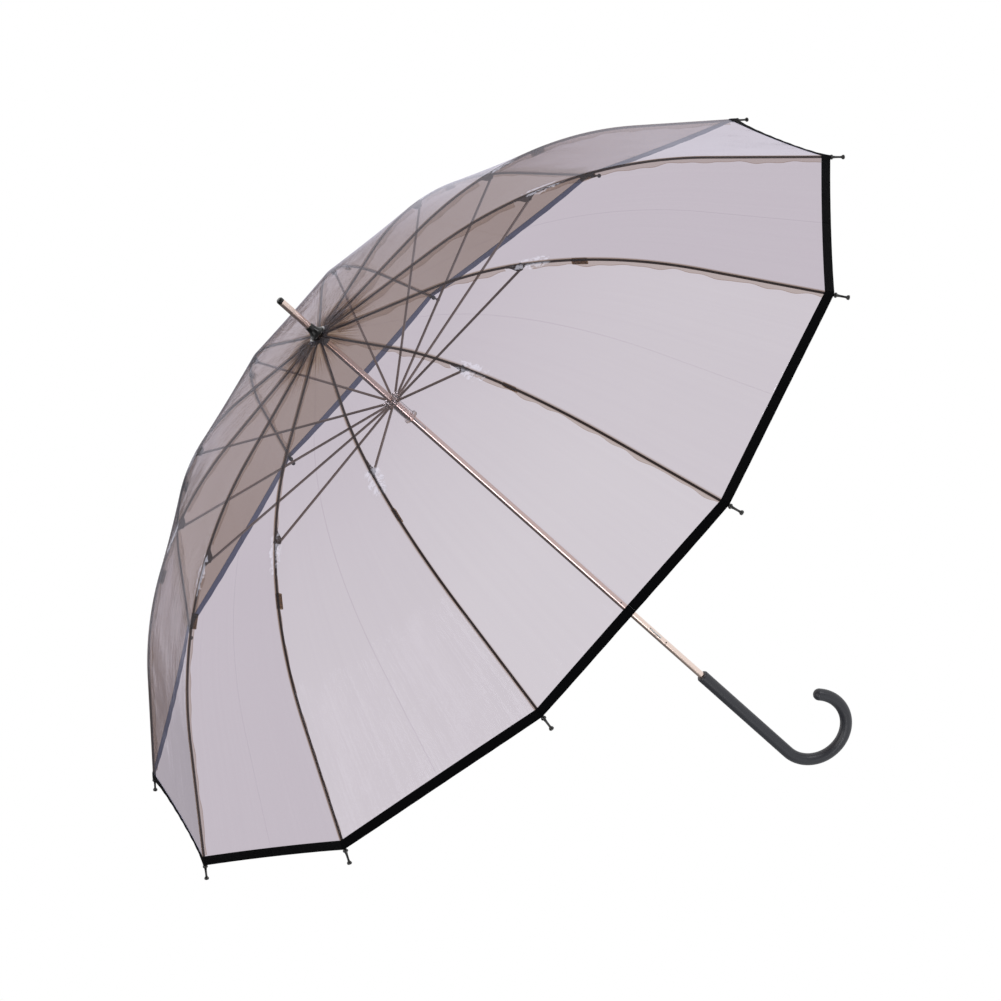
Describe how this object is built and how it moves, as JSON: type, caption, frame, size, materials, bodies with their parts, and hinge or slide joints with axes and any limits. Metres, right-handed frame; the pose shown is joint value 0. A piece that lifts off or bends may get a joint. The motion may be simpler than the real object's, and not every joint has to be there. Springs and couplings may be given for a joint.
{
  "type": "umbrella",
  "caption": "Clear dome umbrella with hinged ribs and stretchers, a sliding runner, two spring catches and a crook handle.",
  "frame": {"origin": "on the shaft's axis at the middle of the straight part of the handle, where the hand holds it", "axes": "+Z along the shaft toward the ferrule, +X in the plane of the crook, toward its open end"},
  "size_m": [1.0698, 1.0698, 0.8983],
  "materials": {
    "rose_gold_steel": "polished, warm tint",
    "black_plastic": "satin",
    "clear_plastic": "clear, glossy",
    "clear_film": "clear film, glossy",
    "hub_plastic": "satin",
    "steel_wire": "bright",
    "rib_steel": "satin dark brown",
    "stretcher_steel": "satin grey-brown",
    "grip": "matte slate grey"
  },
  "bodies": {
    "frame": {"shaft_tube": "rose_gold_steel", "ferrule_tube": "rose_gold_steel", "ferrule_cap": "black_plastic", "top_collar": "black_plastic", "canopy_washer": "clear_plastic", "rib_hub": "hub_plastic", "hub_wire": "steel_wire", "handle": "grip"},
    "runner": {"runner": "clear_plastic", "runner_wire": "steel_wire"},
    "top_catch": {"top_catch": "steel_wire"},
    "bottom_catch": {"bottom_catch": "steel_wire"},
    "rib_inner_01": {"rib_inner_01": "rib_steel"},
    "rib_outer_01": {"rib_outer_01": "rib_steel", "canopy_panel_01": "clear_film"},
    "stretcher_01": {"stretcher_01": "stretcher_steel"},
    "rib_inner_02": {"rib_inner_02": "rib_steel"},
    "rib_outer_02": {"rib_outer_02": "rib_steel", "canopy_panel_02": "clear_film"},
    "stretcher_02": {"stretcher_02": "stretcher_steel"},
    "rib_inner_03": {"rib_inner_03": "rib_steel"},
    "rib_outer_03": {"rib_outer_03": "rib_steel", "canopy_panel_03": "clear_film"},
    "stretcher_03": {"stretcher_03": "stretcher_steel"},
    "rib_inner_04": {"rib_inner_04": "rib_steel"},
    "rib_outer_04": {"rib_outer_04": "rib_steel", "canopy_panel_04": "clear_film"},
    "stretcher_04": {"stretcher_04": "stretcher_steel"},
    "rib_inner_05": {"rib_inner_05": "rib_steel"},
    "rib_outer_05": {"rib_outer_05": "rib_steel", "canopy_panel_05": "clear_film"},
    "stretcher_05": {"stretcher_05": "stretcher_steel"},
    "rib_inner_06": {"rib_inner_06": "rib_steel"},
    "rib_outer_06": {"rib_outer_06": "rib_steel", "canopy_panel_06": "clear_film"},
    "stretcher_06": {"stretcher_06": "stretcher_steel"},
    "rib_inner_07": {"rib_inner_07": "rib_steel"},
    "rib_outer_07": {"rib_outer_07": "rib_steel", "canopy_panel_07": "clear_film"},
    "stretcher_07": {"stretcher_07": "stretcher_steel"},
    "rib_inner_08": {"rib_inner_08": "rib_steel"},
    "rib_outer_08": {"rib_outer_08": "rib_steel", "canopy_panel_08": "clear_film"},
    "stretcher_08": {"stretcher_08": "stretcher_steel"},
    "rib_inner_09": {"rib_inner_09": "rib_steel"},
    "rib_outer_09": {"rib_outer_09": "rib_steel", "canopy_panel_09": "clear_film"},
    "stretcher_09": {"stretcher_09": "stretcher_steel"},
    "rib_inner_10": {"rib_inner_10": "rib_steel"},
    "rib_outer_10": {"rib_outer_10": "rib_steel", "canopy_panel_10": "clear_film"},
    "stretcher_10": {"stretcher_10": "stretcher_steel"},
    "rib_inner_11": {"rib_inner_11": "rib_steel"},
    "rib_outer_11": {"rib_outer_11": "rib_steel", "canopy_panel_11": "clear_film"},
    "stretcher_11": {"stretcher_11": "stretcher_steel"},
    "rib_inner_12": {"rib_inner_12": "rib_steel"},
    "rib_outer_12": {"rib_outer_12": "rib_steel", "canopy_panel_12": "clear_film"},
    "stretcher_12": {"stretcher_12": "stretcher_steel"}
  },
  "joints": [
    {"name": "runner_slide", "type": "slide", "parent": "frame", "child": "runner", "axis": [0, 0, -1], "range_m": [0, 0.42], "deforming": ["canopy_panel_01", "canopy_panel_02", "canopy_panel_03", "canopy_panel_04", "canopy_panel_05", "canopy_panel_06", "canopy_panel_07", "canopy_panel_08", "canopy_panel_09", "canopy_panel_10", "canopy_panel_11", "canopy_panel_12"]},
    {"name": "top_catch_press", "type": "slide", "parent": "frame", "child": "top_catch", "axis": [-0.3584, 0.9336, 0], "range_m": [0, 0.0024], "stiffness_N_per_m": 60},
    {"name": "bottom_catch_press", "type": "slide", "parent": "frame", "child": "bottom_catch", "axis": [-0.3584, 0.9336, 0], "range_m": [0, 0.0024], "stiffness_N_per_m": 60},
    {"name": "rib_hinge_01", "type": "hinge", "parent": "frame", "child": "rib_inner_01", "pos_m": [0.00793, 0.00305, 0.70825], "axis": [-0.3584, 0.9336, 0], "range_deg": [0, 77.8]},
    {"name": "rib_flex_01", "type": "hinge", "parent": "rib_inner_01", "child": "rib_outer_01", "pos_m": [0.2534, 0.09727, 0.66094], "axis": [0.3584, -0.9336, 0], "range_deg": [0, 26.58]},
    {"name": "stretcher_hinge_01", "type": "hinge", "parent": "rib_inner_01", "child": "stretcher_01", "pos_m": [0.25185, 0.09668, 0.65675], "axis": [0.3584, -0.9336, 0], "range_deg": [0, 153.62]},
    {"name": "rib_hinge_02", "type": "hinge", "parent": "frame", "child": "rib_inner_02", "pos_m": [0.00535, 0.00661, 0.70825], "axis": [-0.7771, 0.6293, 0], "range_deg": [0, 77.8]},
    {"name": "rib_flex_02", "type": "hinge", "parent": "rib_inner_02", "child": "rib_outer_02", "pos_m": [0.17081, 0.21094, 0.66094], "axis": [0.7771, -0.6293, 0], "range_deg": [0, 26.58]},
    {"name": "stretcher_hinge_02", "type": "hinge", "parent": "rib_inner_02", "child": "stretcher_02", "pos_m": [0.16977, 0.20965, 0.65675], "axis": [0.7771, -0.6293, 0], "range_deg": [0, 153.62]},
    {"name": "rib_hinge_03", "type": "hinge", "parent": "frame", "child": "rib_inner_03", "pos_m": [0.00133, 0.00839, 0.70825], "axis": [-0.9877, 0.1564, 0], "range_deg": [0, 77.8]},
    {"name": "rib_flex_03", "type": "hinge", "parent": "rib_inner_03", "child": "rib_outer_03", "pos_m": [0.04246, 0.26809, 0.66094], "axis": [0.9877, -0.1564, 0], "range_deg": [0, 26.58]},
    {"name": "stretcher_hinge_03", "type": "hinge", "parent": "rib_inner_03", "child": "stretcher_03", "pos_m": [0.0422, 0.26645, 0.65675], "axis": [0.9877, -0.1564, 0], "range_deg": [0, 153.62]},
    {"name": "rib_hinge_04", "type": "hinge", "parent": "frame", "child": "rib_inner_04", "pos_m": [-0.00305, 0.00793, 0.70825], "axis": [-0.9336, -0.3584, 0], "range_deg": [0, 77.8]},
    {"name": "rib_flex_04", "type": "hinge", "parent": "rib_inner_04", "child": "rib_outer_04", "pos_m": [-0.09727, 0.2534, 0.66094], "axis": [0.9336, 0.3584, 0], "range_deg": [0, 26.58]},
    {"name": "stretcher_hinge_04", "type": "hinge", "parent": "rib_inner_04", "child": "stretcher_04", "pos_m": [-0.09668, 0.25185, 0.65675], "axis": [0.9336, 0.3584, 0], "range_deg": [0, 153.62]},
    {"name": "rib_hinge_05", "type": "hinge", "parent": "frame", "child": "rib_inner_05", "pos_m": [-0.00661, 0.00535, 0.70825], "axis": [-0.6293, -0.7771, 0], "range_deg": [0, 77.8]},
    {"name": "rib_flex_05", "type": "hinge", "parent": "rib_inner_05", "child": "rib_outer_05", "pos_m": [-0.21094, 0.17081, 0.66094], "axis": [0.6293, 0.7771, 0], "range_deg": [0, 26.58]},
    {"name": "stretcher_hinge_05", "type": "hinge", "parent": "rib_inner_05", "child": "stretcher_05", "pos_m": [-0.20965, 0.16977, 0.65675], "axis": [0.6293, 0.7771, 0], "range_deg": [0, 153.62]},
    {"name": "rib_hinge_06", "type": "hinge", "parent": "frame", "child": "rib_inner_06", "pos_m": [-0.00839, 0.00133, 0.70825], "axis": [-0.1564, -0.9877, 0], "range_deg": [0, 77.8]},
    {"name": "rib_flex_06", "type": "hinge", "parent": "rib_inner_06", "child": "rib_outer_06", "pos_m": [-0.26809, 0.04246, 0.66094], "axis": [0.1564, 0.9877, 0], "range_deg": [0, 26.58]},
    {"name": "stretcher_hinge_06", "type": "hinge", "parent": "rib_inner_06", "child": "stretcher_06", "pos_m": [-0.26645, 0.0422, 0.65675], "axis": [0.1564, 0.9877, 0], "range_deg": [0, 153.62]},
    {"name": "rib_hinge_07", "type": "hinge", "parent": "frame", "child": "rib_inner_07", "pos_m": [-0.00793, -0.00305, 0.70825], "axis": [0.3584, -0.9336, 0], "range_deg": [0, 77.8]},
    {"name": "rib_flex_07", "type": "hinge", "parent": "rib_inner_07", "child": "rib_outer_07", "pos_m": [-0.2534, -0.09727, 0.66094], "axis": [-0.3584, 0.9336, 0], "range_deg": [0, 26.58]},
    {"name": "stretcher_hinge_07", "type": "hinge", "parent": "rib_inner_07", "child": "stretcher_07", "pos_m": [-0.25185, -0.09668, 0.65675], "axis": [-0.3584, 0.9336, 0], "range_deg": [0, 153.62]},
    {"name": "rib_hinge_08", "type": "hinge", "parent": "frame", "child": "rib_inner_08", "pos_m": [-0.00535, -0.00661, 0.70825], "axis": [0.7771, -0.6293, 0], "range_deg": [0, 77.8]},
    {"name": "rib_flex_08", "type": "hinge", "parent": "rib_inner_08", "child": "rib_outer_08", "pos_m": [-0.17081, -0.21094, 0.66094], "axis": [-0.7771, 0.6293, 0], "range_deg": [0, 26.58]},
    {"name": "stretcher_hinge_08", "type": "hinge", "parent": "rib_inner_08", "child": "stretcher_08", "pos_m": [-0.16977, -0.20965, 0.65675], "axis": [-0.7771, 0.6293, 0], "range_deg": [0, 153.62]},
    {"name": "rib_hinge_09", "type": "hinge", "parent": "frame", "child": "rib_inner_09", "pos_m": [-0.00133, -0.00839, 0.70825], "axis": [0.9877, -0.1564, 0], "range_deg": [0, 77.8]},
    {"name": "rib_flex_09", "type": "hinge", "parent": "rib_inner_09", "child": "rib_outer_09", "pos_m": [-0.04246, -0.26809, 0.66094], "axis": [-0.9877, 0.1564, 0], "range_deg": [0, 26.58]},
    {"name": "stretcher_hinge_09", "type": "hinge", "parent": "rib_inner_09", "child": "stretcher_09", "pos_m": [-0.0422, -0.26645, 0.65675], "axis": [-0.9877, 0.1564, 0], "range_deg": [0, 153.62]},
    {"name": "rib_hinge_10", "type": "hinge", "parent": "frame", "child": "rib_inner_10", "pos_m": [0.00305, -0.00793, 0.70825], "axis": [0.9336, 0.3584, 0], "range_deg": [0, 77.8]},
    {"name": "rib_flex_10", "type": "hinge", "parent": "rib_inner_10", "child": "rib_outer_10", "pos_m": [0.09727, -0.2534, 0.66094], "axis": [-0.9336, -0.3584, 0], "range_deg": [0, 26.58]},
    {"name": "stretcher_hinge_10", "type": "hinge", "parent": "rib_inner_10", "child": "stretcher_10", "pos_m": [0.09668, -0.25185, 0.65675], "axis": [-0.9336, -0.3584, 0], "range_deg": [0, 153.62]},
    {"name": "rib_hinge_11", "type": "hinge", "parent": "frame", "child": "rib_inner_11", "pos_m": [0.00661, -0.00535, 0.70825], "axis": [0.6293, 0.7771, 0], "range_deg": [0, 77.8]},
    {"name": "rib_flex_11", "type": "hinge", "parent": "rib_inner_11", "child": "rib_outer_11", "pos_m": [0.21094, -0.17081, 0.66094], "axis": [-0.6293, -0.7771, 0], "range_deg": [0, 26.58]},
    {"name": "stretcher_hinge_11", "type": "hinge", "parent": "rib_inner_11", "child": "stretcher_11", "pos_m": [0.20965, -0.16977, 0.65675], "axis": [-0.6293, -0.7771, 0], "range_deg": [0, 153.62]},
    {"name": "rib_hinge_12", "type": "hinge", "parent": "frame", "child": "rib_inner_12", "pos_m": [0.00839, -0.00133, 0.70825], "axis": [0.1564, 0.9877, 0], "range_deg": [0, 77.8]},
    {"name": "rib_flex_12", "type": "hinge", "parent": "rib_inner_12", "child": "rib_outer_12", "pos_m": [0.26809, -0.04246, 0.66094], "axis": [-0.1564, -0.9877, 0], "range_deg": [0, 26.58]},
    {"name": "stretcher_hinge_12", "type": "hinge", "parent": "rib_inner_12", "child": "stretcher_12", "pos_m": [0.26645, -0.0422, 0.65675], "axis": [-0.1564, -0.9877, 0], "range_deg": [0, 153.62]}
  ],
  "couplings": [
    {"joint": "rib_hinge_01", "follows": "runner_slide", "rad_per_m": 3.233},
    {"joint": "rib_flex_01", "follows": "runner_slide", "rad_per_m": 1.1045},
    {"joint": "stretcher_hinge_01", "follows": "runner_slide", "rad_per_m": 6.3837},
    {"joint": "rib_hinge_02", "follows": "runner_slide", "rad_per_m": 3.233},
    {"joint": "rib_flex_02", "follows": "runner_slide", "rad_per_m": 1.1045},
    {"joint": "stretcher_hinge_02", "follows": "runner_slide", "rad_per_m": 6.3837},
    {"joint": "rib_hinge_03", "follows": "runner_slide", "rad_per_m": 3.233},
    {"joint": "rib_flex_03", "follows": "runner_slide", "rad_per_m": 1.1045},
    {"joint": "stretcher_hinge_03", "follows": "runner_slide", "rad_per_m": 6.3837},
    {"joint": "rib_hinge_04", "follows": "runner_slide", "rad_per_m": 3.233},
    {"joint": "rib_flex_04", "follows": "runner_slide", "rad_per_m": 1.1045},
    {"joint": "stretcher_hinge_04", "follows": "runner_slide", "rad_per_m": 6.3837},
    {"joint": "rib_hinge_05", "follows": "runner_slide", "rad_per_m": 3.233},
    {"joint": "rib_flex_05", "follows": "runner_slide", "rad_per_m": 1.1045},
    {"joint": "stretcher_hinge_05", "follows": "runner_slide", "rad_per_m": 6.3837},
    {"joint": "rib_hinge_06", "follows": "runner_slide", "rad_per_m": 3.233},
    {"joint": "rib_flex_06", "follows": "runner_slide", "rad_per_m": 1.1045},
    {"joint": "stretcher_hinge_06", "follows": "runner_slide", "rad_per_m": 6.3837},
    {"joint": "rib_hinge_07", "follows": "runner_slide", "rad_per_m": 3.233},
    {"joint": "rib_flex_07", "follows": "runner_slide", "rad_per_m": 1.1045},
    {"joint": "stretcher_hinge_07", "follows": "runner_slide", "rad_per_m": 6.3837},
    {"joint": "rib_hinge_08", "follows": "runner_slide", "rad_per_m": 3.233},
    {"joint": "rib_flex_08", "follows": "runner_slide", "rad_per_m": 1.1045},
    {"joint": "stretcher_hinge_08", "follows": "runner_slide", "rad_per_m": 6.3837},
    {"joint": "rib_hinge_09", "follows": "runner_slide", "rad_per_m": 3.233},
    {"joint": "rib_flex_09", "follows": "runner_slide", "rad_per_m": 1.1045},
    {"joint": "stretcher_hinge_09", "follows": "runner_slide", "rad_per_m": 6.3837},
    {"joint": "rib_hinge_10", "follows": "runner_slide", "rad_per_m": 3.233},
    {"joint": "rib_flex_10", "follows": "runner_slide", "rad_per_m": 1.1045},
    {"joint": "stretcher_hinge_10", "follows": "runner_slide", "rad_per_m": 6.3837},
    {"joint": "rib_hinge_11", "follows": "runner_slide", "rad_per_m": 3.233},
    {"joint": "rib_flex_11", "follows": "runner_slide", "rad_per_m": 1.1045},
    {"joint": "stretcher_hinge_11", "follows": "runner_slide", "rad_per_m": 6.3837},
    {"joint": "rib_hinge_12", "follows": "runner_slide", "rad_per_m": 3.233},
    {"joint": "rib_flex_12", "follows": "runner_slide", "rad_per_m": 1.1045},
    {"joint": "stretcher_hinge_12", "follows": "runner_slide", "rad_per_m": 6.3837}
  ]
}
